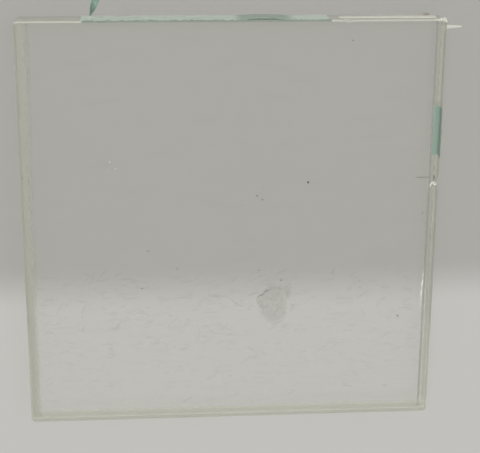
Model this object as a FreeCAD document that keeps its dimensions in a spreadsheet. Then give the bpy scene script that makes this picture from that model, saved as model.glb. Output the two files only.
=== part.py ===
import FreeCAD, Part
import os
import Sketcher

# A small sample of laminated glass: two plies of float glass with a clear film bonded between them.
# It lies on its back face. The origin is the middle of that face, +Z is up through the thickness, +X runs
# along the panel's length and +Y along its width. All sizes are in millimetres.

# (alias, value, what it is)
SIZES = [
    ("panel_length", 100.0, "panel along X"),
    ("panel_width", 100.0, "panel along Y"),
    ("back_ply", 4.0, "thickness of the lower glass"),
    ("film", 0.76, "thickness of the bonding film"),
    ("front_ply", 4.0, "thickness of the upper glass"),
    ("corner_radius", 0.8, "blunted upright corners of each ply"),
    ("arris", 0.35, "ground bevel along the rim of each ply"),
    ("film_inset", 0.15, "gap from the film's edge to the glass edge"),
    ("bead_start", 25.0, "squeezed-out bead on the +Y edge: its far end from the right edge"),
    ("bead_end", 1.9, "its near end from the right edge"),
    ("bead_rise", 0.7, "how far it stands out of the glass edge"),
    ("bead_half_height", 1.6, "half its height up the glass edge"),
    ("sliver_down", 2.4, "squeezed-out sliver on the +X edge: its middle from the +Y edge"),
    ("sliver_root", 0.95, "its width where it leaves the film"),
    ("sliver_tip", 0.25, "its width at the tip"),
    ("sliver_reach", 4.3, "how far it stands out of the glass edge"),
    ("tape", 0.1, "thickness of the edge tape"),
    ("tape_margin", 0.4, "gap from the tape to the panel's two faces"),
    ("top_tape_start", 15.2, "tape on the +Y edge: its left end from the left edge"),
    ("top_tape_run", 57.4, "its length along the edge"),
    ("blister_start", 35.9, "raised part of that tape, from its left end"),
    ("blister_run", 12.4, "its length"),
    ("blister_rise", 0.5, "how far it stands off the glass"),
    ("tail_start", 1.7, "torn tail of that tape: its root from the tape's left end"),
    ("tail_width", 1.2, "width of the tail"),
    ("tail_lean", 1.5, "how far its free end stands to the right of its root"),
    ("tail_reach", 5.6, "how far its free end stands out of the glass edge"),
    ("tail_height", 0.4, "height of the tail, along Z"),
    ("tail_level", 6.2, "middle of the tail above the back face"),
    ("patch_down", 20.8, "tape patch on the +X edge: its near end from the +Y edge"),
    ("patch_run", 12.4, "its length along the edge"),
]

doc = FreeCAD.newDocument("laminated_glass_panel")
sizes = doc.addObject("Spreadsheet::Sheet", "sizes")
for row, (alias, value, meaning) in enumerate(SIZES, start=1):
    sizes.set(f"A{row}", meaning)
    sizes.set(f"B{row}", str(value))
    sizes.setAlias(f"B{row}", alias)
doc.recompute()

RIGHT = "sizes.panel_length / 2"
TOP = "sizes.panel_width / 2"
FILM_FLOOR = "sizes.back_ply"
FILM_ROOF = "sizes.back_ply + sizes.film"
TOTAL = "sizes.back_ply + sizes.film + sizes.front_ply"


def new_body(label):
    """An empty body whose label names the piece."""
    body = doc.addObject("PartDesign::Body", label)
    body.Label = label
    body.Placement = FreeCAD.Placement()
    return body


def outline(body, name, plane, corners, level=None):
    """A closed sketch on one of the body's origin planes, moved along its normal to level.

    Each corner is (x, y) or (x, y, rise) in expressions. With a rise, the side that starts at that corner
    is an arc that bulges to the right of the way round by that much (to the left if it is negative), and
    otherwise it is straight.
    """
    sketch = body.newObject("Sketcher::SketchObject", name)
    base = next(f for f in body.Origin.OriginFeatures if f.Role == plane)
    sketch.AttachmentSupport = (base, [""])
    sketch.MapMode = "FlatFace"
    if level is not None:
        sketch.setExpression(".AttachmentOffset.Base.z", level)

    points = [FreeCAD.Vector(sizes.evalExpression(c[0]), sizes.evalExpression(c[1]), 0) for c in corners]
    ends = []
    for i, corner in enumerate(corners):
        start, stop = points[i], points[(i + 1) % len(points)]
        if len(corner) == 2:
            side = sketch.addGeometry(Part.LineSegment(start, stop), False)
            ends.append((side, 1, 2))
            continue
        # A sketch's arcs run anticlockwise, so one that bulges to the left is drawn from its far end.
        rise = sizes.evalExpression(corner[2])
        outward = (stop - start).cross(FreeCAD.Vector(0, 0, 1)).normalize()
        crown = (start + stop) / 2 + outward * rise
        if rise > 0:
            side = sketch.addGeometry(Part.Arc(start, crown, stop), False)
            ends.append((side, 1, 2))
        else:
            side = sketch.addGeometry(Part.Arc(stop, crown, start), False)
            ends.append((side, 2, 1))

    for i, (side, first, last) in enumerate(ends):
        after, after_first, _ = ends[(i + 1) % len(ends)]
        sketch.addConstraint(Sketcher.Constraint("Coincident", side, last, after, after_first))
        across = sketch.addConstraint(Sketcher.Constraint("DistanceX", side, first, points[i].x))
        sketch.setExpression(f"Constraints[{across}]", corners[i][0])
        along = sketch.addConstraint(Sketcher.Constraint("DistanceY", side, first, points[i].y))
        sketch.setExpression(f"Constraints[{along}]", corners[i][1])
        if len(corners[i]) == 3:
            # The arc is held by its crown: the middle of its chord, moved sideways by the rise.
            (x0, y0, rise), (x1, y1) = corners[i], corners[(i + 1) % len(corners)][:2]
            chord = f"sqrt((({x1}) - ({x0}))^2 + (({y1}) - ({y0}))^2)"
            crown_x = f"(({x0}) + ({x1})) / 2 + ({rise}) * (({y1}) - ({y0})) / {chord}"
            crown_y = f"(({y0}) + ({y1})) / 2 - ({rise}) * (({x1}) - ({x0})) / {chord}"
            crown = FreeCAD.Vector(sizes.evalExpression(crown_x), sizes.evalExpression(crown_y), 0)
            dot = sketch.addGeometry(Part.Point(crown), True)
            sketch.addConstraint(Sketcher.Constraint("PointOnObject", dot, 1, side))
            across = sketch.addConstraint(Sketcher.Constraint("DistanceX", dot, 1, crown.x))
            sketch.setExpression(f"Constraints[{across}]", crown_x)
            along = sketch.addConstraint(Sketcher.Constraint("DistanceY", dot, 1, crown.y))
            sketch.setExpression(f"Constraints[{along}]", crown_y)
    return sketch


def pad(body, sketch, name, length):
    """Extrudes a sketch along its plane's normal."""
    feature = body.newObject("PartDesign::Pad", name)
    feature.Profile = sketch
    feature.setExpression("Length", length)
    sketch.Visibility = False
    doc.recompute()
    return feature


def rectangle(half_x, half_y):
    """The corners of a rectangle round the origin."""
    left, low = f"-({half_x})", f"-({half_y})"
    return [(left, low), (half_x, low), (half_x, half_y), (left, half_y)]


def edges(feature, upright):
    """The names of a feature's upright edges, or of all its others."""
    names = []
    for number, edge in enumerate(feature.Shape.Edges, start=1):
        along_z = abs(edge.tangentAt(edge.FirstParameter).z) > 0.99
        if along_z == upright:
            names.append(f"Edge{number}")
    return names


def glass_ply(label, thickness, floor):
    """One ply of glass, with blunted corners and a ground arris round both of its faces."""
    body = new_body(label)
    face = outline(body, f"{label}_face", "XY_Plane", rectangle(RIGHT, TOP), floor)
    sheet = pad(body, face, f"{label}_sheet", thickness)

    corners = body.newObject("PartDesign::Fillet", f"{label}_corners")
    corners.Base = (sheet, edges(sheet, upright=True))
    corners.setExpression("Radius", "sizes.corner_radius")
    doc.recompute()

    rim = body.newObject("PartDesign::Chamfer", f"{label}_arris")
    rim.Base = (corners, edges(corners, upright=False))
    rim.setExpression("Size", "sizes.arris")
    doc.recompute()
    return body


def film_sheet():
    """The bonding film, with the bead and the sliver of it that were squeezed out past the glass."""
    body = new_body("interlayer")
    film_right = f"{RIGHT} - sizes.film_inset"
    film_top = f"{TOP} - sizes.film_inset"
    face = outline(body, "film_face", "XY_Plane", rectangle(film_right, film_top), FILM_FLOOR)
    pad(body, face, "film_sheet", "sizes.film")

    # The bead's section stands in the YZ plane: a neck between the plies, then a round ridge on their edges.
    middle = f"({FILM_FLOOR} + sizes.film / 2)"
    low = f"{middle} - sizes.bead_half_height"
    high = f"{middle} + sizes.bead_half_height"
    section = [
        (film_top, FILM_FLOOR),
        (TOP, FILM_FLOOR),
        (TOP, low, "sizes.bead_rise"),
        (TOP, high),
        (TOP, FILM_ROOF),
        (film_top, FILM_ROOF),
    ]
    ridge = outline(body, "bead_section", "YZ_Plane", section, f"{RIGHT} - sizes.bead_start")
    pad(body, ridge, "bead", "sizes.bead_start - sizes.bead_end")

    # The sliver is a tapered tongue of the film's own thickness.
    root_y = f"{TOP} - sizes.sliver_down"
    tongue = [
        (film_right, f"{root_y} - sizes.sliver_root / 2"),
        (f"{RIGHT} + sizes.sliver_reach", f"{root_y} - sizes.sliver_tip / 2"),
        (f"{RIGHT} + sizes.sliver_reach", f"{root_y} + sizes.sliver_tip / 2"),
        (film_right, f"{root_y} + sizes.sliver_root / 2"),
    ]
    pad(body, outline(body, "sliver_face", "XY_Plane", tongue, FILM_FLOOR), "sliver", "sizes.film")
    return body


def top_tape():
    """The tape left on the +Y edge: a strip with one blister in it, and its torn tail."""
    body = new_body("top_edge_tape")
    left = f"(-{RIGHT} + sizes.top_tape_start)"
    right = f"{left} + sizes.top_tape_run"
    blister_left = f"{left} + sizes.blister_start"
    blister_right = f"{blister_left} + sizes.blister_run"
    outer = f"{TOP} + sizes.tape"
    strip = [
        (left, TOP),
        (blister_left, TOP, "-sizes.blister_rise"),
        (blister_right, TOP),
        (right, TOP),
        (right, outer),
        (blister_right, outer, "sizes.blister_rise"),
        (blister_left, outer),
        (left, outer),
    ]
    face = outline(body, "top_tape_face", "XY_Plane", strip, "sizes.tape_margin")
    pad(body, face, "top_tape_strip", f"{TOTAL} - 2 * sizes.tape_margin")

    root = f"{left} + sizes.tail_start"
    tip = f"{root} + sizes.tail_lean"
    tail = [
        (root, TOP),
        (f"{root} + sizes.tail_width", TOP),
        (f"{tip} + sizes.tail_width", f"{TOP} + sizes.tail_reach"),
        (tip, f"{TOP} + sizes.tail_reach"),
    ]
    tail_floor = "sizes.tail_level - sizes.tail_height / 2"
    pad(body, outline(body, "tail_face", "XY_Plane", tail, tail_floor), "tail", "sizes.tail_height")
    return body


def right_tape():
    """The patch of tape left on the +X edge."""
    body = new_body("right_edge_tape")
    high = f"{TOP} - sizes.patch_down"
    low = f"{high} - sizes.patch_run"
    outer = f"{RIGHT} + sizes.tape"
    patch = [(RIGHT, low), (outer, low), (outer, high), (RIGHT, high)]
    face = outline(body, "patch_face", "XY_Plane", patch, "sizes.tape_margin")
    pad(body, face, "patch", f"{TOTAL} - 2 * sizes.tape_margin")
    return body


pieces = [
    glass_ply("back_glass", "sizes.back_ply", "0"),
    film_sheet(),
    glass_ply("front_glass", "sizes.front_ply", FILM_ROOF),
    top_tape(),
    right_tape(),
]
doc.recompute()

for item in doc.Objects:
    if "Invalid" in item.State or "Error" in item.State:
        raise RuntimeError(f"{item.Name} did not build: {item.State}")
for piece in pieces:
    shape = piece.Shape
    if shape.isNull() or not shape.isValid() or len(shape.Solids) != 1:
        raise RuntimeError(f"{piece.Label} is not one valid solid")

os.makedirs("parts", exist_ok=True)
for piece in pieces:
    box = piece.Shape.BoundBox
    size = f"{box.XLength:.2f} x {box.YLength:.2f} x {box.ZLength:.2f} mm"
    print(f"{piece.Label}: {size}, {piece.Shape.Volume:.2f} mm3")
    piece.Shape.exportStep(f"parts/{piece.Label}.step")
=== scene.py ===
import math
import random

import bmesh
import bpy
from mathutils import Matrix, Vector, noise


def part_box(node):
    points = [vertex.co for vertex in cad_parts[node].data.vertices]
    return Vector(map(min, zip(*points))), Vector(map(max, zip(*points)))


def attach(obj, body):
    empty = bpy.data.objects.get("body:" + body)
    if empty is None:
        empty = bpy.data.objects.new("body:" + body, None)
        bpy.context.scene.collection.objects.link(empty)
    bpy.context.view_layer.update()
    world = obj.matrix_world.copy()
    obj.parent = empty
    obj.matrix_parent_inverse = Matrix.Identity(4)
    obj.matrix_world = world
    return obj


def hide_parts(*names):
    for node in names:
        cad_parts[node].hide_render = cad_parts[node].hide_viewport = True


bl_info = {
    "name": "Laminated Glass Sample",
    "version": (1, 0, 0),
    "blender": (4, 5, 0),
    "location": "View3D > Sidebar > Glass",
    "description": "Two plies of glass with a bonding film, worn edges and what is left of an edge tape",
    "category": "Object",
}

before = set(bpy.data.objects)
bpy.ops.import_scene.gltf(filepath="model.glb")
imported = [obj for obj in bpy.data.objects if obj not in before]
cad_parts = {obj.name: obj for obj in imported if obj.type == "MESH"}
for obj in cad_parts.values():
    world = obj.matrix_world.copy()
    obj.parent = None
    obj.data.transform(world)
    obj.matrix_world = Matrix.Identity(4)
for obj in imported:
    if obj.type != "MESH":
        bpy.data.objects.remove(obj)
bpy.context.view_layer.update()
bpy.ops.object.select_all(action="DESELECT")

MM = 0.001
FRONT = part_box("front_glass")
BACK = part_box("back_glass")
TOP_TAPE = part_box("top_edge_tape")
RIGHT_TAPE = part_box("right_edge_tape")

LOW = Vector((FRONT[0].x, FRONT[0].y, BACK[0].z))
HIGH = FRONT[1].copy()
FILM_FLOOR = BACK[1].z
FILM_ROOF = FRONT[0].z
FILM_MIDDLE = (FILM_FLOOR + FILM_ROOF) / 2
TAPE_SHEET = 0.06 * MM

FADED_CLOUD = (0.27, 0.27, 0.24)
FILM_LINE = (0.25, 0.255, 0.22)
FILM_BY_TAPE = (0.23, 0.34, 0.28)
# Painted highlight on the ground rims along the top and bottom edges.
RIM_HIGHLIGHT = (0.80, 0.79, 0.70)
# Darker colour for streaks on the tape's loose end.
LOOSE_END_DARK = (0.10, 0.14, 0.115)


# ---------------------------------------------------------------------------------------------
# Sizes and colours that a user would change
# ---------------------------------------------------------------------------------------------


def length(name, description, default):
    """A size in metres, given in millimetres."""
    return bpy.props.FloatProperty(name=name, description=description, default=default * MM, min=0.0,
                                   subtype="DISTANCE", unit="LENGTH", precision=5)


def colour(name, description, default):
    """A linear colour."""
    return bpy.props.FloatVectorProperty(name=name, description=description, default=default, size=3,
                                         min=0.0, max=1.0, subtype="COLOR")


def share(name, description, default):
    """A number from 0 to 1."""
    return bpy.props.FloatProperty(name=name, description=description, default=default, min=0.0, max=1.0,
                                   subtype="FACTOR")


class GlassRim(bpy.types.PropertyGroup):
    corner: length("Corner", "Radius of the blunted upright corners", 0.8)
    arris: length("Arris", "Width of the ground bevel round each face", 0.35)
    wander: length("Wander", "How far the ground rim wanders from a straight line", 0.05)
    stations: bpy.props.IntProperty(name="Stations", description="Cuts along each side of the rim",
                                    default=240, min=8, max=600)


class FilmCloud(bpy.types.PropertyGroup):
    left: length("Left", "Width of the cloudy band along the left edge", 2.7)
    right: length("Right", "Width of the cloudy band along the right edge", 0.75)
    line_in: length("Line in", "How far in from the right edge the film's dark line runs", 1.7)
    bottom: length("Bottom", "Width of the cloudy band along the bottom edge", 0.35)
    top: length("Top", "Width of the cloudy band along the top edge", 0.4)
    density: share("Density", "How much of the light the cloudy band stops", 0.85)
    inset: length("Inset", "Gap from the film's edge to the glass edge", 0.15)


class Wear(bpy.types.PropertyGroup):
    scuffs: bpy.props.IntProperty(name="Scuffs", description="Short scuffs on the front face",
                                  default=110, min=0)
    scuff_width: length("Scuff width", "Widest part of a scuff", 1.0)
    seed: bpy.props.IntProperty(name="Seed", description="Where the scuffs fall", default=7)


class Colours(bpy.types.PropertyGroup):
    glass: colour("Glass", "Tint of the float glass", (0.983, 0.985, 0.979))
    edge: colour("Ground edge", "Ground rim of the glass", (0.54, 0.55, 0.47))
    cloud: colour("Cloud", "Yellowed film near the edges", (0.44, 0.44, 0.375))
    film: colour("Squeezed film", "Film that came out past the glass", (0.78, 0.78, 0.71))
    tape: colour("Tape", "Green polyester tape", (0.16, 0.29, 0.22))
    tape_worn: colour("Worn tape", "Tape where its colour is rubbed thin", (0.80, 0.91, 0.80))
    dirt: colour("Dirt", "Brown crumbs and grime", (0.33, 0.295, 0.23))
    floor: colour("Floor", "Plain floor in front of the panel", (0.535, 0.525, 0.505))
    floor_far: colour("Far floor", "The same floor beyond the middle of the panel", (0.400, 0.390, 0.370))


# ---------------------------------------------------------------------------------------------
# Materials
# ---------------------------------------------------------------------------------------------


class Nodes:
    """A material's node tree, with short ways to add and join nodes."""

    def __init__(self, name):
        self.material = bpy.data.materials.new(name)
        self.material.use_nodes = True
        self.tree = self.material.node_tree
        self.surface = self.tree.nodes["Principled BSDF"]
        self.output = self.tree.nodes["Material Output"]

    def add(self, kind, **settings):
        made = self.tree.nodes.new(kind)
        for key, value in settings.items():
            setattr(made, key, value)
        return made

    def feed(self, socket, value):
        if isinstance(value, bpy.types.NodeSocket):
            self.tree.links.new(value, socket)
        else:
            socket.default_value = value

    def position(self):
        return self.add("ShaderNodeTexCoord").outputs["Object"]

    def axes(self):
        split = self.add("ShaderNodeSeparateXYZ")
        self.feed(split.inputs[0], self.position())
        return split.outputs

    def maths(self, operation, a, b=0.0):
        made = self.add("ShaderNodeMath", operation=operation)
        self.feed(made.inputs[0], a)
        self.feed(made.inputs[1], b)
        return made.outputs[0]

    def ramp(self, value, start, stop, low=0.0, high=1.0):
        """Low before start, high after stop, and an easy curve between."""
        made = self.add("ShaderNodeMapRange", interpolation_type="SMOOTHSTEP")
        self.feed(made.inputs["Value"], value)
        self.feed(made.inputs["From Min"], start)
        self.feed(made.inputs["From Max"], stop)
        self.feed(made.inputs["To Min"], low)
        self.feed(made.inputs["To Max"], high)
        return made.outputs["Result"]

    def noise(self, size, detail=3.0, roughness=0.55, stretch=(1, 1, 1), turn=0.0):
        """Noise whose lumps are about size metres across."""
        place = self.add("ShaderNodeMapping")
        self.feed(place.inputs["Vector"], self.position())
        place.inputs["Scale"].default_value = stretch
        place.inputs["Rotation"].default_value = (0, 0, turn)
        made = self.add("ShaderNodeTexNoise")
        self.feed(made.inputs["Vector"], place.outputs[0])
        made.inputs["Scale"].default_value = 1 / size
        made.inputs["Detail"].default_value = detail
        made.inputs["Roughness"].default_value = roughness
        return made.outputs["Fac"]

    def spot(self, x, y, radius, flat=1.0):
        """1 at a place on the panel, falling to 0 at radius. flat squeezes it along Y."""
        away = self.add("ShaderNodeVectorMath", operation="SUBTRACT")
        self.feed(away.inputs[0], self.position())
        away.inputs[1].default_value = (x * MM, y * MM, 0)
        squeeze = self.add("ShaderNodeVectorMath", operation="MULTIPLY")
        self.feed(squeeze.inputs[0], away.outputs[0])
        squeeze.inputs[1].default_value = (1, 1 / flat, 0)
        size = self.add("ShaderNodeVectorMath", operation="LENGTH")
        self.feed(size.inputs[0], squeeze.outputs[0])
        return self.ramp(size.outputs["Value"], 0.0, radius * MM, 1.0, 0.0)

    def blend(self, factor, a, b):
        """Colour a where the factor is 0, colour b where it is 1."""
        made = self.add("ShaderNodeMix", data_type="RGBA")
        self.feed(made.inputs["Factor"], factor)
        self.feed(made.inputs["A"], (*a, 1) if isinstance(a, tuple) else a)
        self.feed(made.inputs["B"], (*b, 1) if isinstance(b, tuple) else b)
        return made.outputs["Result"]

    def bump(self, height, depth, strength=1.0):
        made = self.add("ShaderNodeBump")
        self.feed(made.inputs["Height"], height)
        made.inputs["Distance"].default_value = depth
        made.inputs["Strength"].default_value = strength
        self.feed(self.surface.inputs["Normal"], made.outputs[0])

    def let_light_through(self, tint):
        """Lets light for what lies under the surface pass straight through, tinted."""
        path = self.add("ShaderNodeLightPath")
        straight = self.add("ShaderNodeBsdfTransparent")
        straight.inputs["Color"].default_value = (*tint, 1)
        mix = self.add("ShaderNodeMixShader")
        light = self.maths("MAXIMUM", path.outputs["Is Shadow Ray"], path.outputs["Is Diffuse Ray"])
        self.feed(mix.inputs[0], light)
        self.feed(mix.inputs[1], self.surface.outputs[0])
        self.feed(mix.inputs[2], straight.outputs[0])
        self.feed(self.output.inputs["Surface"], mix.outputs[0])

    def set(self, **values):
        """Gives the surface its values. An underscore in a name stands for a space."""
        for key, value in values.items():
            self.feed(self.surface.inputs[key.replace("_", " ")], value)


def rgb(value):
    """A colour property as a plain tuple."""
    return tuple(value)


def scaled(base, factor):
    """A colour made darker or lighter, up to white."""
    return tuple(min(1.0, factor * c) for c in base)


def float_glass(tint):
    """Clear glass. Light for what lies under it passes straight through, with the glass's own tint."""
    n = Nodes("float_glass")
    n.set(Base_Color=(*tint, 1), Roughness=0.03, IOR=1.5, Transmission_Weight=1.0)
    n.let_light_through(tint)
    return n.material


def bonded_face():
    """Where glass and film are one, optically: nothing to see."""
    n = Nodes("bonded_face")
    clear = n.add("ShaderNodeBsdfTransparent")
    n.feed(n.output.inputs["Surface"], clear.outputs[0])
    n.tree.nodes.remove(n.surface)
    return n.material


def ground_edge(name, base, dirt, highlight_share):
    """Ground glass: dull, a little grainy, with grime in patches."""
    n = Nodes(name)
    patches = n.ramp(n.noise(6 * MM, 4.0), 0.42, 0.72)
    fine = n.noise(0.35 * MM, 2.0)
    pale = n.blend(fine, scaled(base, 0.9), scaled(base, 1.1))
    # Painted shade: the rims are darker above the lowest quarter of the panel, towards its top edge.
    _, y, z = n.axes()
    upper_shade = n.ramp(y, -32 * MM, -22 * MM, 0.0, 0.35)
    pale = n.blend(upper_shade, pale, scaled(base, 0.5))
    # Painted highlight: the rims along the top and bottom edges are paler than the two at the sides, most of
    # all on the front ply.
    rim = HIGH.y - 0.8 * MM, HIGH.y - 0.5 * MM
    rim_highlight = n.maths("ADD", n.ramp(y, *rim, 0.0, highlight_share),
                    n.ramp(n.maths("MULTIPLY", y, -1), *rim, 0.0, 0.55 * highlight_share))
    rim_highlight = n.maths("MULTIPLY", rim_highlight, n.ramp(z, FILM_ROOF + 0.3 * MM, FILM_ROOF + 0.9 * MM, 0.4, 1.0))
    highlighted = n.blend(rim_highlight, pale, RIM_HIGHLIGHT)
    # The lower ply's rim along the top edge is the smoothest ground, so that the floor shows through it.
    lower_ply = n.ramp(z, FILM_FLOOR - 0.5 * MM, FILM_ROOF + 0.5 * MM, 1.0, 0.0)
    smooth = n.maths("MULTIPLY", n.ramp(y, *rim), lower_ply)
    dirtied_and_darkened = n.blend(n.maths("MULTIPLY", patches, 0.12), highlighted, dirt)
    n.set(Base_Color=dirtied_and_darkened, Roughness=n.ramp(fine, 0.3, 0.7, 0.42, 0.62), IOR=1.5,
          Alpha=n.maths("SUBTRACT", 0.7, n.maths("MULTIPLY", smooth, 0.62)))
    n.bump(fine, 0.03 * MM, 0.5)
    n.let_light_through((0.90, 0.90, 0.87))
    return n.material


def clouded_film(cloud, tint):
    """The bonding film: clear, but cloudy and yellowed in a band along each edge, with a few faint smears."""
    n = Nodes("clouded_film")
    x, y, _ = n.axes()
    wander = n.maths("MULTIPLY", n.maths("SUBTRACT", n.noise(1.6 * MM, 3.0), 0.5), 0.8 * MM)

    def band(distance, width, full=0.8):
        """1 from the edge to that share of the width, and 0 past the width."""
        return n.ramp(n.maths("ADD", distance, wander), full * width, width, 1.0, 0.0)

    def line(distance, middle, half):
        """1 at the line's middle, and 0 past half its width to either side."""
        wavy = n.maths("ADD", distance, n.maths("MULTIPLY", wander, 0.2))
        off = n.maths("ABSOLUTE", n.maths("SUBTRACT", wavy, middle))
        return n.ramp(off, 0.3 * half, half, 1.0, 0.0)

    from_left = n.maths("SUBTRACT", x, LOW.x)
    from_right = n.maths("SUBTRACT", HIGH.x, x)
    from_bottom = n.maths("SUBTRACT", y, LOW.y)
    above_patch = n.ramp(y, RIGHT_TAPE[1].y, RIGHT_TAPE[1].y + 3 * MM, 0.15, 0.55)
    by_patch = n.maths("MULTIPLY", n.ramp(y, RIGHT_TAPE[0].y - 0.2 * MM, RIGHT_TAPE[0].y + 0.4 * MM),
                       n.ramp(y, RIGHT_TAPE[1].y - 0.4 * MM, RIGHT_TAPE[1].y + 0.2 * MM, 1.0, 0.0))
    outside_line = n.ramp(from_right, cloud.line_in, cloud.line_in + 0.4 * MM, 1.0, 0.0)
    by_patch = n.maths("MULTIPLY", by_patch, outside_line)
    sides = [
        band(n.maths("MULTIPLY", from_left, n.ramp(y, 0.0, 45 * MM, 1.0, 0.8)), cloud.left, 0.4),
        band(from_right, cloud.right),
        n.maths("MULTIPLY", band(from_right, cloud.line_in), above_patch),
        n.maths("MULTIPLY", band(from_right, cloud.line_in), by_patch),
        band(from_bottom, cloud.bottom),
        n.maths("MULTIPLY", band(from_bottom, 2.6 * MM, 0.45), 0.8),
        band(n.maths("SUBTRACT", HIGH.y, y), cloud.top),
    ]
    edge = sides[0]
    for side in sides[1:]:
        edge = n.maths("MAXIMUM", edge, side)
    edge = n.maths("MULTIPLY", edge, cloud.density)

    dark_line = n.maths("MAXIMUM", n.maths("MULTIPLY", line(from_right, cloud.line_in, 0.42 * MM), 0.62),
                        n.maths("MULTIPLY", line(from_bottom, 0.12 * MM, 0.3 * MM), 0.8))

    # Faint marks: smears all over, finer streaks in the lower half, and a few clouded places.
    broken = n.ramp(n.noise(3 * MM, 4.0, 0.65), 0.35, 0.75)
    lower = n.maths("MULTIPLY", n.ramp(y, -15 * MM, -10 * MM, 1.0, 0.0),
                    n.ramp(y, -50 * MM, -28 * MM, 0.35, 1.0))
    streaks = n.ramp(n.noise(2.0 * MM, 5.0, 0.65, (0.55, 1.5, 1), 0.15), 0.50, 0.74, 0.0, 0.13)
    marks = n.ramp(n.noise(5 * MM, 4.0, 0.6, (0.35, 1.6, 1), 0.12), 0.5, 0.8, 0.0, 0.03)
    for more in (
        n.maths("MULTIPLY", lower, streaks),
        n.maths("MULTIPLY", n.spot(-34, 38, 9, 0.7), n.maths("MULTIPLY", broken, 0.035)),
        n.maths("MULTIPLY", n.spot(2, 29, 14, 0.6), n.maths("MULTIPLY", broken, 0.025)),
        n.maths("MULTIPLY", n.spot(38, -9.5, 9, 0.55), 0.04),
    ):
        marks = n.maths("ADD", marks, more)

    by_left = n.ramp(from_left, 2.3 * MM, 2.8 * MM, 1.0, 0.0)
    yellowed = n.blend(n.ramp(y, -48 * MM, -46 * MM), scaled(tint, 1.04), tint)
    yellowed = n.blend(by_left, yellowed, scaled(tint, 0.88))
    by_bottom = n.ramp(from_bottom, 3 * MM, 4 * MM, 1.0, 0.0)
    pure = n.maths("MAXIMUM", edge, n.maths("MAXIMUM", by_left, by_bottom))
    clouded = n.blend(pure, FADED_CLOUD, yellowed)
    greened = n.blend(by_patch, clouded, FILM_BY_TAPE)
    n.set(Base_Color=n.blend(dark_line, greened, FILM_LINE), Roughness=0.6, IOR=1.5,
          Alpha=n.maths("MAXIMUM", n.maths("MAXIMUM", edge, dark_line), marks))
    return n.material


def squeezed_film(base):
    """Film that was pressed out past the glass: milky, glossy and a little yellow."""
    n = Nodes("squeezed_film")
    lumps = n.noise(0.9 * MM, 3.0)
    milky = n.blend(lumps, scaled(base, 0.82), scaled(base, 1.15))
    aged = n.ramp(n.axes()[0], HIGH.x + 0.1 * MM, HIGH.x + 0.8 * MM, 0.0, 0.4)
    n.set(Base_Color=n.blend(aged, milky, scaled(base, 0.66)), Roughness=0.32, IOR=1.48,
          Transmission_Weight=0.35)
    n.bump(lumps, 0.08 * MM, 0.6)
    return n.material


def edge_tape(name, base, worn, dirt, rubbed):
    """Thin green polyester tape: streaked along its length, rubbed pale in places, with grime and creases.

    rubbed gives, for the node tree and a noise, how far the colour is rubbed off."""
    n = Nodes(name)
    streaks = n.noise(1.1 * MM, 3.0, 0.6, (0.3, 1, 2.4))
    green = n.blend(rubbed(n, n.noise(3.2 * MM, 4.0, 0.6)), base, worn)
    streaked = n.blend(n.ramp(streaks, 0.45, 0.7, 0.0, 0.4), green, scaled(base, 0.55))
    dirtied_and_darkened = n.blend(n.ramp(n.noise(0.8 * MM, 3.0), 0.62, 0.8, 0.0, 0.4), streaked, dirt)
    # The loose end is darker in streaks along its length.
    loose = n.ramp(n.axes()[1], HIGH.y + 0.6 * MM, HIGH.y + 1.2 * MM)
    dark_streaks = n.ramp(n.noise(0.7 * MM, 4.0, 0.6, (1.6, 0.5, 1)), 0.4, 0.65, 0.1, 0.65)
    dirtied_and_darkened = n.blend(n.maths("MULTIPLY", loose, dark_streaks), dirtied_and_darkened, LOOSE_END_DARK)
    n.set(Base_Color=dirtied_and_darkened, Roughness=0.48, IOR=1.5)
    n.bump(streaks, 0.06 * MM, 0.7)
    return n.material


def rubbed_strip(n, lumps):
    """The long strip is rubbed pale, but for the blister, the tail and the side by the front face."""
    x, y, z = n.axes()
    pale = n.ramp(lumps, 0.2, 0.5, 0.6, 1.0)
    blister = n.maths("MULTIPLY", n.ramp(x, 0.0, 2.5 * MM), n.ramp(x, 12 * MM, 15.5 * MM, 1.0, 0.0))
    loose = n.ramp(y, HIGH.y + 0.6 * MM, HIGH.y + 1.2 * MM, 0.0, 0.95)
    speckled = n.ramp(n.noise(0.6 * MM, 2.0, 0.6), 0.46, 0.56, 0.1, 1.0)
    corner = n.maths("MULTIPLY", n.ramp(z, HIGH.z - 1.0 * MM, HIGH.z - 0.5 * MM), speckled)
    kept = n.maths("MAXIMUM", n.maths("MULTIPLY", blister, 0.5), n.maths("MAXIMUM", loose, corner))
    return n.maths("MULTIPLY", pale, n.maths("SUBTRACT", 1.0, kept))


def rubbed_patch(n, lumps):
    """The short patch is rubbed in a few places only."""
    return n.ramp(lumps, 0.4, 0.7, 0.0, 0.4)


def soft_line(name, base, cover, size=1.5 * MM):
    """A mark along a ribbon that fades towards both of its sides."""
    n = Nodes(name)
    split = n.add("ShaderNodeSeparateXYZ")
    n.feed(split.inputs[0], n.add("ShaderNodeTexCoord").outputs["UV"])
    off = n.maths("ABSOLUTE", n.maths("SUBTRACT", split.outputs[1], 0.5))
    uneven = n.ramp(n.noise(size, 4.0, 0.6), 0.3, 0.7, 0.45 * cover, 1.3 * cover)
    n.set(Base_Color=(*base, 1), Roughness=0.6,
          Alpha=n.maths("MULTIPLY", n.ramp(off, 0.05, 0.5, 1.0, 0.0), uneven))
    return n.material


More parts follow.
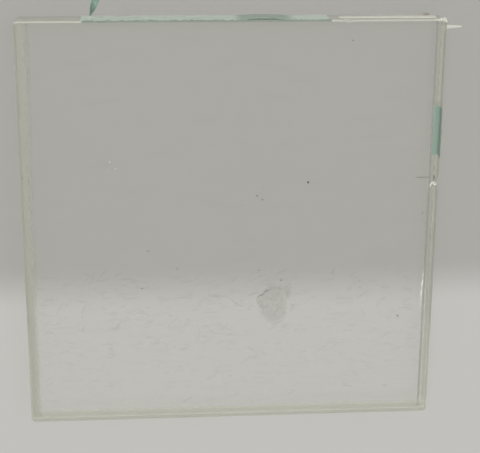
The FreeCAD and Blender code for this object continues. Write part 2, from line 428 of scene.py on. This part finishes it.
def cloudy_patch(base, cover):
    """A clouded place in the film: uneven, and fading over its rim."""
    n = Nodes("film_patch")
    off = n.add("ShaderNodeVectorMath", operation="DISTANCE")
    n.feed(off.inputs[0], n.add("ShaderNodeTexCoord").outputs["UV"])
    off.inputs[1].default_value = (0.5, 0.5, 0)
    wobbly = n.maths("ADD", off.outputs["Value"], n.maths("MULTIPLY", n.noise(1.2 * MM, 4.0, 0.6), 0.16))
    cloudy = n.noise(2.4 * MM, 5.0, 0.6)
    cover_here = n.ramp(cloudy, 0.25, 0.75, 0.7 * cover, 1.35 * cover)
    n.set(Base_Color=n.blend(cloudy, scaled(base, 0.85), scaled(base, 1.12)), Roughness=0.6,
          Alpha=n.maths("MULTIPLY", n.ramp(wobbly, 0.44, 0.60, 1.0, 0.0), cover_here))
    return n.material


def grit(name, base):
    """Solid dirt: rough and mottled."""
    n = Nodes(name)
    grain = n.noise(0.3 * MM, 4.0, 0.7)
    n.set(Base_Color=n.blend(grain, scaled(base, 0.5), scaled(base, 1.7)),
          Roughness=0.8)
    n.bump(grain, 0.1 * MM)
    return n.material


# ---------------------------------------------------------------------------------------------
# Modelling helpers
# ---------------------------------------------------------------------------------------------


def settle(piece):
    """Puts the piece's place, turn and size into its mesh."""
    bpy.ops.object.select_all(action="DESELECT")
    piece.select_set(True)
    bpy.context.view_layer.objects.active = piece
    bpy.ops.object.transform_apply(location=True, rotation=True, scale=True)


def hand_in(piece, node):
    """Puts the piece under the root body and hides the CAD node that it stands for."""
    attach(piece, "root")
    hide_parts(node)


def casts_nothing(piece):
    """Too thin and faint to keep light from what lies under it."""
    piece.visible_shadow = False
    piece.visible_diffuse = False


def slab(name, low, high):
    """A box between two corners."""
    bpy.ops.mesh.primitive_cube_add(size=1, location=(low + high) / 2)
    piece = bpy.context.object
    piece.name = name
    piece.scale = high - low
    settle(piece)
    return piece


def strip(name, cuts, across=1):
    """A flat grid that a path can be given to, cuts long and across wide."""
    bpy.ops.mesh.primitive_grid_add(x_subdivisions=cuts, y_subdivisions=across, size=2)
    piece = bpy.context.object
    piece.name = name
    return piece


def joined(pieces, name):
    """One object of several."""
    bpy.ops.object.select_all(action="DESELECT")
    for piece in pieces:
        piece.select_set(True)
    bpy.context.view_layer.objects.active = pieces[0]
    if len(pieces) > 1:
        bpy.ops.object.join()
    piece = bpy.context.object
    piece.name = name
    settle(piece)
    return piece


def edit(piece):
    """Opens a piece in edit mode with nothing selected."""
    bpy.ops.object.select_all(action="DESELECT")
    piece.select_set(True)
    bpy.context.view_layer.objects.active = piece
    bpy.ops.object.mode_set(mode="EDIT")
    bpy.ops.mesh.select_mode(type="EDGE")
    bpy.ops.mesh.select_all(action="DESELECT")


def select_edges(piece, test):
    """Selects the edges that pass a test."""
    bpy.ops.mesh.select_all(action="DESELECT")
    shape = bmesh.from_edit_mesh(piece.data)
    for edge in shape.edges:
        if test(edge):
            edge.select_set(True)
    shape.select_flush_mode()
    bmesh.update_edit_mesh(piece.data)


def along(edge):
    """An edge's vector."""
    return edge.verts[1].co - edge.verts[0].co


def thicken(piece, thickness):
    """Gives a flat sheet its thickness, half of it to each side."""
    bpy.ops.object.modifier_add(type="SOLIDIFY")
    solid = piece.modifiers[0]
    solid.thickness = thickness
    solid.offset = 0
    bpy.ops.object.modifier_apply(modifier=solid.name)


def lump(place, radius, shape, rough, grain, subdivisions):
    """An uneven ball. Its radius is in millimetres, and grain sets how fine its bumps are."""
    bpy.ops.mesh.primitive_ico_sphere_add(subdivisions=subdivisions, radius=radius * MM, location=place)
    piece = bpy.context.object
    piece.scale = shape
    settle(piece)
    for vertex in piece.data.vertices:
        vertex.co += vertex.normal * rough * radius * MM * noise.noise(vertex.co * grain)
    return piece


def ribbon(name, path, width, level, cuts=14):
    """A flat tapered ribbon on the panel that follows a few points (x, y) in millimetres."""
    piece = strip(name, cuts)
    route = [Vector((x * MM, y * MM, 0)) for x, y in path]
    for vertex in piece.data.vertices:
        run = (vertex.co.x + 1) / 2
        at = run * (len(route) - 1)
        step = min(int(at), len(route) - 2)
        here = route[step].lerp(route[step + 1], at - step)
        way = (route[step + 1] - route[step]).normalized()
        side = Vector((-way.y, way.x, 0))
        half = width / 2 * (0.15 + 0.85 * math.sin(math.pi * min(max(run, 0), 1)) ** 0.6)
        vertex.co = here + side * half * vertex.co.y + Vector((0, 0, level))
    return piece


# ---------------------------------------------------------------------------------------------
# Pieces
# ---------------------------------------------------------------------------------------------


def wear_rim(piece, rim, chips, faces):
    """Moves the ground rim inwards a little, unevenly, and further at each chip. The flat faces stay flat."""
    inner = Vector((HIGH.x - rim.arris * 1.5, HIGH.y - rim.arris * 1.5, 0))
    for vertex in piece.data.vertices:
        at = vertex.co
        near_x, near_y = abs(at.x) > inner.x, abs(at.y) > inner.y
        if not (near_x or near_y):
            continue
        rough = 0.5 + 0.5 * noise.noise(at * 900) + 0.35 * noise.noise(at * 3100)
        push = rim.wander * max(rough, 0.0)
        for x, y, size in chips:
            gap = (Vector((at.x, at.y, 0)) - Vector((x * MM, y * MM, 0))).length
            if gap < size * MM and at.z > HIGH.z - 1.2 * MM:
                push += 0.55 * size * MM * (1 - gap / (size * MM)) ** 0.7
        if near_x:
            at.x -= math.copysign(push, at.x)
        if near_y:
            at.y -= math.copysign(push, at.y)
        if all(abs(at.z - level) > 1e-6 for level in faces):
            at.z += 0.35 * push * (1 if at.z < (faces[0] + faces[1]) / 2 else -1)


def ply(name, box, rim, chips, bonded_up):
    """One ply: a slab with blunted corners, a ground arris and a worn rim.

    Its finishes are clear glass, ground edge, bonded face and taped edge, in that order."""
    low, high = box
    piece = slab(name, low, high)
    edit(piece)
    select_edges(piece, lambda e: abs(along(e).z) > 1 * MM)
    bpy.ops.mesh.bevel(offset=rim.corner, segments=4)
    select_edges(piece, lambda e: abs(along(e).z) < 1e-7)
    bpy.ops.mesh.bevel(offset=rim.arris, segments=1)
    select_edges(piece, lambda e: along(e).length > 50 * MM)
    bpy.ops.mesh.subdivide(number_cuts=rim.stations)
    select_edges(piece, lambda e: abs(along(e).z) > 1 * MM)
    bpy.ops.mesh.subdivide(number_cuts=3)
    bpy.ops.object.mode_set(mode="OBJECT")
    wear_rim(piece, rim, chips, (low.z, high.z))

    bonded = high.z if bonded_up else low.z
    for face in piece.data.polygons:
        if abs(face.normal.z) < 0.999 or len(face.vertices) < 20:
            face.material_index = 1
            middle = face.center
            top_tape = TOP_TAPE[0].x < middle.x < TOP_TAPE[1].x and middle.y > HIGH.y - 1 * MM
            right_tape = RIGHT_TAPE[0].y < middle.y < RIGHT_TAPE[1].y and middle.x > HIGH.x - 1 * MM
            if top_tape or right_tape:
                face.material_index = 3
        elif abs(face.center.z - bonded) < 1e-5:
            face.material_index = 2
    return piece


class GLASS_OT_plies(bpy.types.Operator):
    """Make the two plies of glass, with their ground rims"""

    bl_idname = "glass.plies"
    bl_label = "Glass plies"

    def execute(self, context):
        rim, colours = context.scene.glass_rim, context.scene.glass_colours
        base, dirt = rgb(colours.edge), rgb(colours.dirt)
        under_tape = tuple(0.65 * a + 0.35 * b for a, b in zip(rgb(colours.tape), base))
        finishes = [
            float_glass(rgb(colours.glass)),
            ground_edge("ground_edge", base, dirt, 0.65),
            bonded_face(),
            ground_edge("taped_edge", under_tape, dirt, 0.0),
        ]
        # Each chip's place and reach, in millimetres.
        front_chips = [(50, 10.6, 1.5), (-50, 46.5, 0.7), (-50, 39.4, 0.6), (-50, 13.0, 0.9),
                       (-50, -36.4, 0.7), (27.0, 50, 0.9), (50, -47.5, 0.8)]
        for name, box, chips, bonded_up in (
            ("glass_front_ply", FRONT, front_chips, False),
            ("glass_back_ply", BACK, [], True),
        ):
            piece = ply(name, box, rim, chips, bonded_up)
            for finish in finishes:
                piece.data.materials.append(finish)
            hand_in(piece, "front_glass" if box is FRONT else "back_glass")
        return {"FINISHED"}


class GLASS_OT_film(bpy.types.Operator):
    """Make the bonding film between the plies"""

    bl_idname = "glass.film"
    bl_label = "Bonding film"

    def execute(self, context):
        cloud, colours = context.scene.glass_film, context.scene.glass_colours
        clear = Vector((cloud.inset, cloud.inset, 0.02 * MM))
        low = Vector((LOW.x, LOW.y, FILM_FLOOR)) + clear
        high = Vector((HIGH.x, HIGH.y, FILM_ROOF)) - clear
        piece = slab("film_sheet", low, high)
        edit(piece)
        select_edges(piece, lambda e: abs(along(e).z) > 0.1 * MM)
        bpy.ops.mesh.bevel(offset=context.scene.glass_rim.corner, segments=4)
        bpy.ops.object.mode_set(mode="OBJECT")
        # Its finishes are for its sides, its upper face and its lower face.
        for finish in (
            squeezed_film(rgb(colours.film)),
            clouded_film(cloud, rgb(colours.cloud)),
            bonded_face(),
        ):
            piece.data.materials.append(finish)
        for face in piece.data.polygons:
            if face.normal.z > 0.9:
                face.material_index = 1
            elif face.normal.z < -0.9:
                face.material_index = 2
        hand_in(piece, "interlayer")
        casts_nothing(piece)
        return {"FINISHED"}


class GLASS_OT_squeeze_out(bpy.types.Operator):
    """Make the bead, the corner lump and the sliver of film that came out past the glass"""

    bl_idname = "glass.squeeze_out"
    bl_label = "Squeezed-out film"

    def execute(self, context):
        finish = squeezed_film(rgb(context.scene.glass_colours.film))
        bead_start, bead_end = HIGH.x - 25 * MM, HIGH.x - 1.9 * MM
        bead_rise, bead_half_height = 0.55 * MM, 1.6 * MM

        # The bead: a bar that is rounded, thinned towards its far end and lumpy.
        bpy.ops.mesh.primitive_uv_sphere_add(segments=24, ring_count=48, radius=1)
        bead = bpy.context.object
        bead.name = "squeezed_bead"
        for vertex in bead.data.vertices:
            up = vertex.co.z
            around = Vector((vertex.co.x, vertex.co.y))
            run = 0.5 + 0.5 * up * (2 - abs(up))
            x = bead_start + (bead_end - bead_start) * run
            girth = around.length
            turn = around.normalized() if girth > 1e-6 else around
            swell = min(1.0, girth * 1.6) * (0.62 + 0.38 * run)
            swell *= 1 + 0.16 * noise.noise(Vector((x * 420, 0, 0)))
            vertex.co = Vector((x, HIGH.y + turn.x * bead_rise * swell,
                                FILM_MIDDLE + turn.y * bead_half_height * swell))
            vertex.co.y = max(vertex.co.y, HIGH.y - 0.12 * MM)
        # Small lumps that hang on the corner.
        lumps = []
        for x, y, z, radius in ((0.65, 0.05, 0.5, 0.50), (1.30, 0.10, 0.6, 0.44), (0.25, 0.50, 0.5, 0.34),
                                (1.95, 0.20, 0.5, 0.34), (2.55, 0.10, 0.7, 0.30)):
            place = (HIGH.x - x * MM, HIGH.y - y * MM, HIGH.z - z * MM)
            lumps.append(lump(place, radius, (1.0, 0.85, 0.8), 0.3, 2300, subdivisions=4))
        # The sliver: a thin thorn that tapers and turns up a little.
        sliver = strip("squeezed_sliver", 18, 3)
        sliver_reach, sliver_lift, sliver_down = 4.6 * MM, 0.30 * MM, 2.4 * MM
        root = Vector((HIGH.x - 0.2 * MM, HIGH.y - sliver_down, FILM_MIDDLE))
        for vertex in sliver.data.vertices:
            run, side = (vertex.co.x + 1) / 2, vertex.co.y
            half = 0.52 * MM * (1 - run) ** 0.8 + 0.02 * MM
            vertex.co = root + Vector((sliver_reach * run, side * half + 0.15 * MM * run,
                                       sliver_lift * run - 0.10 * MM * abs(side)))
        thicken(sliver, 0.3 * MM)
        for vertex in sliver.data.vertices:
            run = (vertex.co.x - root.x) / sliver_reach
            middle = root.z + sliver_lift * run
            vertex.co.z = middle + (vertex.co.z - middle) * (1.05 - 0.85 * run)

        piece = joined([bead, *lumps, sliver], "squeezed_film")
        bpy.ops.object.shade_smooth_by_angle(angle=math.radians(60))
        piece.data.materials.clear()
        piece.data.materials.append(finish)
        hand_in(piece, "interlayer")
        casts_nothing(piece)
        return {"FINISHED"}


class GLASS_OT_blemish(bpy.types.Operator):
    """Make the grey wrinkled patch in the film, with its creases, and a painted highlight near the right edge
    """

    bl_idname = "glass.blemish"
    bl_label = "Wrinkled patch"

    def execute(self, context):
        # The outline's points and the lines' points and widths are in millimetres.
        centre = Vector((10.8 * MM, -20.1 * MM, FILM_MIDDLE + 0.1 * MM))
        outline = [(-4.2, 1.2), (-3.0, 3.0), (-1.8, 3.9), (-0.9, 5.2), (1.0, 4.5), (2.4, 4.4), (3.7, 4.7),
                   (4.3, 2.4), (3.1, 0.2), (3.0, -3.2), (2.0, -5.4), (0.2, -6.6), (-2.0, -5.0), (-3.7, -2.6),
                   (-4.3, -0.4)]
        bpy.ops.mesh.primitive_circle_add(vertices=len(outline), radius=1, fill_type="TRIFAN")
        patch = bpy.context.object
        bearing = {vertex.index: math.atan2(vertex.co.y, vertex.co.x) for vertex in patch.data.vertices
                   if vertex.co.length > 0.5}
        spread = sorted(outline, key=lambda p: math.atan2(p[1], p[0]))
        for vertex in patch.data.vertices:
            vertex.co = centre
        for index, (x, y) in zip(sorted(bearing, key=bearing.get), spread):
            patch.data.vertices[index].co = centre + Vector((x, y, 0)) * MM
        edit(patch)
        bpy.ops.mesh.select_all(action="SELECT")
        bpy.ops.mesh.subdivide(number_cuts=6, smoothness=0.0)
        bpy.ops.object.mode_set(mode="OBJECT")
        for vertex in patch.data.vertices:
            vertex.co = centre + (vertex.co - centre) * (1.06 + 0.09 * noise.noise(vertex.co * 1500))
        patch.name = "film_patch"
        patch.data.materials.append(cloudy_patch((0.36, 0.36, 0.325), 0.46))
        hand_in(patch, "interlayer")
        casts_nothing(patch)

        level = centre.z + 0.03 * MM
        creases = [
            ([(6.5, -19.1), (7.0, -18.5), (8.1, -18.0)], 0.5),
            ([(8.3, -17.5), (8.9, -17.2), (9.4, -16.7)], 0.65),
        ]
        wrinkles = [
            ([(-5.7, -17.6), (-4.7, -18.3), (-3.5, -18.5), (-0.8, -18.2)], 1.1),
            ([(-1.2, -18.3), (0.4, -19.6), (2.0, -20.9), (3.8, -21.3)], 0.8),
            ([(4.1, -18.6), (5.1, -18.0), (6.9, -17.5)], 0.9),
            ([(3.7, -21.1), (5.1, -21.3), (6.5, -21.3)], 0.7),
            ([(-7.2, -22.4), (-4.6, -22.6), (-2.8, -22.5)], 0.7),
            ([(8.6, -17.2), (10.4, -16.4), (12.8, -16.9)], 1.6),
            ([(13.6, -16.0), (14.5, -17.4), (14.2, -19.4)], 1.3),
            ([(7.0, -19.0), (6.9, -20.2), (7.9, -21.8)], 1.5),
            ([(14.6, -20.6), (15.6, -21.4), (14.6, -23.2)], 1.2),
        ]
        dark = soft_line("film_crease", (0.10, 0.10, 0.09), 0.8)
        faint = soft_line("film_wrinkle", (0.22, 0.22, 0.20), 0.18)
        made = []
        for lines, finish in ((creases, dark), (wrinkles, faint)):
            for path, width in lines:
                line = ribbon("film_line", path, width * MM, level)
                line.data.materials.append(finish)
                made.append(line)
        # Painted highlight: a pale streak in the film near the right edge.
        painted_highlight = ribbon("film_painted_highlight", [(48.1, -11.9), (47.9, -16.5), (47.6, -22.0)], 0.7 * MM, level)
        painted_highlight.data.materials.append(soft_line("film_painted_highlight", (0.85, 0.85, 0.82), 0.7))
        hand_in(painted_highlight, "interlayer")
        casts_nothing(painted_highlight)
        piece = joined(made, "film_creases")
        hand_in(piece, "interlayer")
        casts_nothing(piece)
        return {"FINISHED"}


class GLASS_OT_specks(bpy.types.Operator):
    """Make the dark and pale specks caught in the film"""

    bl_idname = "glass.specks"
    bl_label = "Specks"

    def execute(self, context):
        # Each speck's place and radius, in millimetres.
        dark = [(18.6, 10.5, 0.26), (6.2, 7.3, 0.16), (7.7, 9.4, 0.13), (7.5, 6.3, 0.16), (-20.3, -6.3, 0.14),
                (6.9, -11.8, 0.17), (-21.9, -15.9, 0.16), (-13.3, -11.0, 0.12), (-25.9, -10.0, 0.11),
                (42.0, -24.6, 0.2), (28.4, 44.8, 0.14), (19.8, 33.6, 0.12), (32.3, -16.8, 0.11),
                (12.4, -14.5, 0.15), (13.6, 24.7, 0.11), (-15.1, -23.2, 0.12), (47.1, 2.3, 0.14),
                (-48.9, -37.3, 0.2), (-49.2, -38.7, 0.16), (-48.3, 11.8, 0.2), (-48.7, 13.6, 0.16),
                (-49.1, 29.9, 0.16), (-48.5, 9.8, 0.13)]
        pale = [(-29.0, 16.2, 0.16), (-27.7, 14.6, 0.13), (-29.4, 14.1, 0.12), (-2.7, 17.4, 0.13),
                (-31.5, 18.9, 0.1), (-49.3, 43.6, 0.2), (-49.4, 39.0, 0.2), (-49.2, 45.8, 0.14),
                (41.8, 8.0, 0.1)]
        colours = context.scene.glass_colours
        for name, spots, finish in (
            ("dark_specks", dark, grit("dark_speck", (0.05, 0.045, 0.035))),
            ("pale_specks", pale, grit("pale_speck", rgb(colours.film))),
        ):
            made = []
            for number, (x, y, radius) in enumerate(spots):
                shape = (1.0 + 0.3 * math.sin(number * 2.1), 1.0, 0.5)
                made.append(lump((x * MM, y * MM, FILM_MIDDLE), radius, shape, 0.25, 5000, subdivisions=2))
            piece = joined(made, name)
            piece.data.materials.append(finish)
            hand_in(piece, "interlayer")
        return {"FINISHED"}


class GLASS_OT_scuffs(bpy.types.Operator):
    """Make the faint short scuffs on the front face and the scratch by the right edge"""

    bl_idname = "glass.scuffs"
    bl_label = "Scuffs"

    def execute(self, context):
        wear = context.scene.glass_wear
        pick = random.Random(wear.seed)
        level = HIGH.z + 0.004 * MM
        made = []
        for _ in range(wear.scuffs):
            across = pick.betavariate(1.1, 1.5)
            x = -46 + 90 * across
            y = -11 - 36 * pick.betavariate(1.0, 1.7)
            size = pick.uniform(1.2, 4.6)
            heading = pick.gauss(0.2, 0.5)
            bend = pick.uniform(-0.8, 0.8)
            path = []
            for step in (0.0, 0.33, 0.67, 1.0):
                angle = heading + bend * (step - 0.5)
                out = size * (step - 0.5)
                path.append((x + out * math.cos(angle), y + out * math.sin(angle)))
            width = wear.scuff_width * pick.uniform(0.45, 1.3)
            made.append(ribbon("scuff", path, width, level, cuts=6))
        piece = joined(made, "face_scuffs")
        piece.data.materials.append(soft_line("face_scuff", (0.24, 0.24, 0.22), 0.10, 0.8 * MM))
        hand_in(piece, "front_glass")
        casts_nothing(piece)

        scratch = ribbon("edge_scratch", [(44.2, 12.1), (46.6, 12.15), (47.9, 12.05)], 0.24 * MM, level)
        scratch.data.materials.append(soft_line("edge_scratch", (0.07, 0.065, 0.055), 0.9))
        hand_in(scratch, "front_glass")
        casts_nothing(scratch)

        # Where the scratch runs out over the edge, the rim is chipped: a dark nick and pale splinters.
        nick = ribbon("edge_nick", [(48.7, 12.7), (48.8, 12.0), (48.7, 11.2)], 0.55 * MM, level)
        nick.data.materials.append(soft_line("edge_nick", (0.05, 0.045, 0.04), 1.0, 0.5 * MM))
        splinters = joined([
            ribbon("splinter", path, width * MM, level)
            for path, width in (
                ([(47.9, 10.1), (48.4, 10.8), (49.4, 10.6)], 0.6),
                ([(48.4, 10.9), (48.9, 10.2), (49.5, 10.4)], 0.5),
                ([(47.8, 9.6), (48.1, 10.2)], 0.4),
            )
        ], "edge_splinters")
        splinters.data.materials.append(soft_line("edge_splinter", (0.85, 0.84, 0.76), 0.9, 0.5 * MM))
        for piece in (nick, splinters):
            hand_in(piece, "front_glass")
            casts_nothing(piece)
        return {"FINISHED"}


class GLASS_OT_top_tape(bpy.types.Operator):
    """Make the tape along the top edge, with its blister and its loose twisted tail"""

    bl_idname = "glass.top_tape"
    bl_label = "Top edge tape"

    def execute(self, context):
        colours = context.scene.glass_colours
        left, right = TOP_TAPE[0].x, TOP_TAPE[1].x
        floor, roof = TOP_TAPE[0].z, TOP_TAPE[1].z
        reach = TOP_TAPE[1].y - HIGH.y
        blister_left, blister_run, blister_rise = left + 35.9 * MM, 12.4 * MM, 0.42 * MM

        band = strip("top_tape", 230, 16)
        for vertex in band.data.vertices:
            run, up = (vertex.co.x + 1) / 2, (vertex.co.y + 1) / 2
            x = left + (right - left) * run
            torn = 0.25 * MM * noise.noise(Vector((x * 700, up * 3, 5)))
            in_blister = (x - blister_left) / blister_run
            rise = blister_rise * math.sin(math.pi * in_blister) ** 2 if 0 < in_blister < 1 else 0.0
            crinkle = 0.05 * MM * (0.5 + 0.5 * noise.noise(Vector((x * 500, up * 2.2, 0))))
            z = floor + (roof - floor) * up
            if up > 0.98:
                z -= 0.5 * abs(torn)
            if up < 0.02:
                z += 1.2 * abs(torn)
            end = min(run, 1 - run) * (right - left)
            if end < 1.0 * MM:
                x += torn
            vertex.co = Vector((x, HIGH.y + 0.055 * MM + rise * (0.35 + 0.65 * up) + crinkle, z))
        thicken(band, TAPE_SHEET)

        # The tail leaves the tape on edge, twists half a turn and ends in a plain torn end.
        tail = strip("tape_tail", 70, 6)
        root = Vector((left + 1.9 * MM, HIGH.y + 0.08 * MM, HIGH.z - 2.2 * MM))
        for vertex in tail.data.vertices:
            run, side = (vertex.co.x + 1) / 2, vertex.co.y
            middle = root + Vector((0.25 * MM * math.sin(run * 3.0) + 1.9 * MM * run ** 1.3,
                                    (reach - 0.12 * MM) * run, 0.5 * MM * math.sin(run * 2.6)))
            turn = math.radians(88 - 118 * run)
            half = (0.30 + 0.72 * run ** 0.8 - 0.08 * math.sin(run * 9)) * MM
            fold = 0.12 * MM * side * side * math.sin(run * 5 + 1)
            vertex.co = middle + Vector((math.cos(turn) * half * side, 0.0,
                                         math.sin(turn) * half * side + fold))
            if run > 0.97:
                vertex.co.y -= 0.35 * MM * (0.5 + 0.5 * noise.noise(Vector((side * 3, 0, 1))))
        thicken(tail, 0.07 * MM)

        piece = joined([band, tail], "edge_tape_top")
        bpy.ops.object.shade_smooth_by_angle(angle=math.radians(50))
        piece.data.materials.append(edge_tape("edge_tape_strip", rgb(colours.tape), rgb(colours.tape_worn),
                                              rgb(colours.dirt), rubbed_strip))
        hand_in(piece, "top_edge_tape")
        casts_nothing(piece)
        return {"FINISHED"}


class GLASS_OT_right_tape(bpy.types.Operator):
    """Make the patch of tape on the right edge"""

    bl_idname = "glass.right_tape"
    bl_label = "Right edge tape"

    def execute(self, context):
        colours = context.scene.glass_colours
        low, high = RIGHT_TAPE
        patch = strip("edge_tape_right", 60, 24)
        for vertex in patch.data.vertices:
            run, up = (vertex.co.x + 1) / 2, (vertex.co.y + 1) / 2
            y = low.y + (high.y - low.y) * run
            z = low.z + (high.z - low.z) * up
            end = min(run, 1 - run)
            if end < 0.05:
                torn = 0.45 * MM * noise.noise(Vector((up * 6, 0, 3)))
                y += torn if run < 0.5 else -torn
                y = min(max(y, low.y), high.y)
            lift = 0.03 * MM * (0.5 + 0.5 * noise.noise(Vector((y * 600, z * 600, 0))))
            vertex.co = Vector((HIGH.x + 0.035 * MM + lift, y, z))
        thicken(patch, TAPE_SHEET)
        settle(patch)
        patch.data.materials.append(edge_tape("edge_tape_patch", rgb(colours.tape), rgb(colours.tape_worn),
                                              rgb(colours.dirt), rubbed_patch))
        hand_in(patch, "right_edge_tape")
        casts_nothing(patch)
        return {"FINISHED"}


class GLASS_OT_crumbs(bpy.types.Operator):
    """Make the brown crumb on the bead and the grime along the edges"""

    bl_idname = "glass.crumbs"
    bl_label = "Dirt crumbs"

    def execute(self, context):
        finish = grit("brown_crumb", rgb(context.scene.glass_colours.dirt))
        # Each crumb's place and radius, in millimetres.
        crumbs = [(45.8, 50.74, 4.9, 0.32), (45.3, 50.68, 4.7, 0.22), (46.3, 50.68, 4.8, 0.22),
                  (49.7, 46.0, 8.5, 0.16), (49.8, 44.2, 7.9, 0.13), (49.9, 41.6, 8.2, 0.15),
                  (49.9, 35.0, 7.4, 0.12)]
        made = [lump((x * MM, y * MM, z * MM), radius, (1.15, 0.9, 0.75), 0.45, 3200, subdivisions=3)
                for x, y, z, radius in crumbs]
        piece = joined(made, "brown_crumbs")
        piece.data.materials.append(finish)
        hand_in(piece, "interlayer")
        return {"FINISHED"}


class GLASS_OT_stage(bpy.types.Operator):
    """Make the plain floor, the soft light and the camera"""

    bl_idname = "glass.stage"
    bl_label = "Floor, light and camera"

    def execute(self, context):
        scene = context.scene
        colours = scene.glass_colours
        bpy.ops.mesh.primitive_plane_add(size=6, location=(0, 0, LOW.z - 0.05 * MM))
        floor = context.object
        floor.name = "floor"
        n = Nodes("plain_floor")
        y = n.axes()[1]
        tone = n.blend(n.ramp(y, -24 * MM, -11 * MM), rgb(colours.floor), rgb(colours.floor_far))
        n.set(Base_Color=tone, Roughness=0.9)
        n.surface.inputs["Specular IOR Level"].default_value = 0.1
        floor.data.materials.append(n.material)

        def lamp(name, place, size, power):
            """A square lamp that faces the panel."""
            light = bpy.data.lights.new(name, "AREA")
            light.size = size
            light.energy = power
            made = bpy.data.objects.new(name, light)
            scene.collection.objects.link(made)
            made.location = place
            made.rotation_euler = (-Vector(place)).to_track_quat("-Z", "Y").to_euler()

        lamp("key", (-0.5, 0.5, 2.0), 0.6, 18.0)
        lamp("fill", (0.9, 0.4, 1.6), 0.6, 6.0)

        world = bpy.data.worlds.new("soft_room")
        scene.world = world
        world.use_nodes = True
        sky = world.node_tree.nodes["Background"]
        sky.inputs["Color"].default_value = (0.92, 0.92, 0.90, 1)
        sky.inputs["Strength"].default_value = 0.55

        camera = bpy.data.cameras.new("camera")
        camera.sensor_width = 36
        camera.lens = 94.05
        camera.clip_start, camera.clip_end = 0.01, 20
        eye = bpy.data.objects.new("camera", camera)
        scene.collection.objects.link(eye)
        eye.location = (-21.5 * MM, 91.0 * MM, HIGH.z + 287.4 * MM)
        eye.rotation_mode = "ZYX"
        eye.rotation_euler = (math.radians(-17.48), math.radians(-4.44), math.radians(-1.03))
        scene.camera = eye

        scene.view_settings.view_transform = "Standard"
        scene.cycles.transparent_max_bounces = 32
        return {"FINISHED"}


class GLASS_PT_sample(bpy.types.Panel):
    """Lists the pieces of the sample"""

    bl_label = "Laminated glass sample"
    bl_idname = "GLASS_PT_sample"
    bl_space_type = "VIEW_3D"
    bl_region_type = "UI"
    bl_category = "Glass"

    def draw(self, context):
        for operator in OPERATORS:
            self.layout.operator(operator.bl_idname)
        for group in (context.scene.glass_rim, context.scene.glass_film, context.scene.glass_wear,
                      context.scene.glass_colours):
            box = self.layout.box()
            for name in group.__annotations__:
                box.prop(group, name)


GROUPS = {"glass_rim": GlassRim, "glass_film": FilmCloud, "glass_wear": Wear, "glass_colours": Colours}
OPERATORS = (GLASS_OT_plies, GLASS_OT_film, GLASS_OT_squeeze_out, GLASS_OT_blemish, GLASS_OT_specks,
             GLASS_OT_scuffs, GLASS_OT_top_tape, GLASS_OT_right_tape, GLASS_OT_crumbs, GLASS_OT_stage)


def register():
    for group in GROUPS.values():
        bpy.utils.register_class(group)
    for operator in OPERATORS:
        bpy.utils.register_class(operator)
    bpy.utils.register_class(GLASS_PT_sample)
    for name, group in GROUPS.items():
        setattr(bpy.types.Scene, name, bpy.props.PointerProperty(type=group))


def unregister():
    for name in GROUPS:
        delattr(bpy.types.Scene, name)
    bpy.utils.unregister_class(GLASS_PT_sample)
    for operator in reversed(OPERATORS):
        bpy.utils.unregister_class(operator)
    for group in GROUPS.values():
        bpy.utils.unregister_class(group)


def main():
    register()
    bpy.ops.glass.plies()
    bpy.ops.glass.film()
    bpy.ops.glass.squeeze_out()
    bpy.ops.glass.blemish()
    bpy.ops.glass.specks()
    bpy.ops.glass.scuffs()
    bpy.ops.glass.top_tape()
    bpy.ops.glass.right_tape()
    bpy.ops.glass.crumbs()
    bpy.ops.glass.stage()


if __name__ == "__main__":
    main()
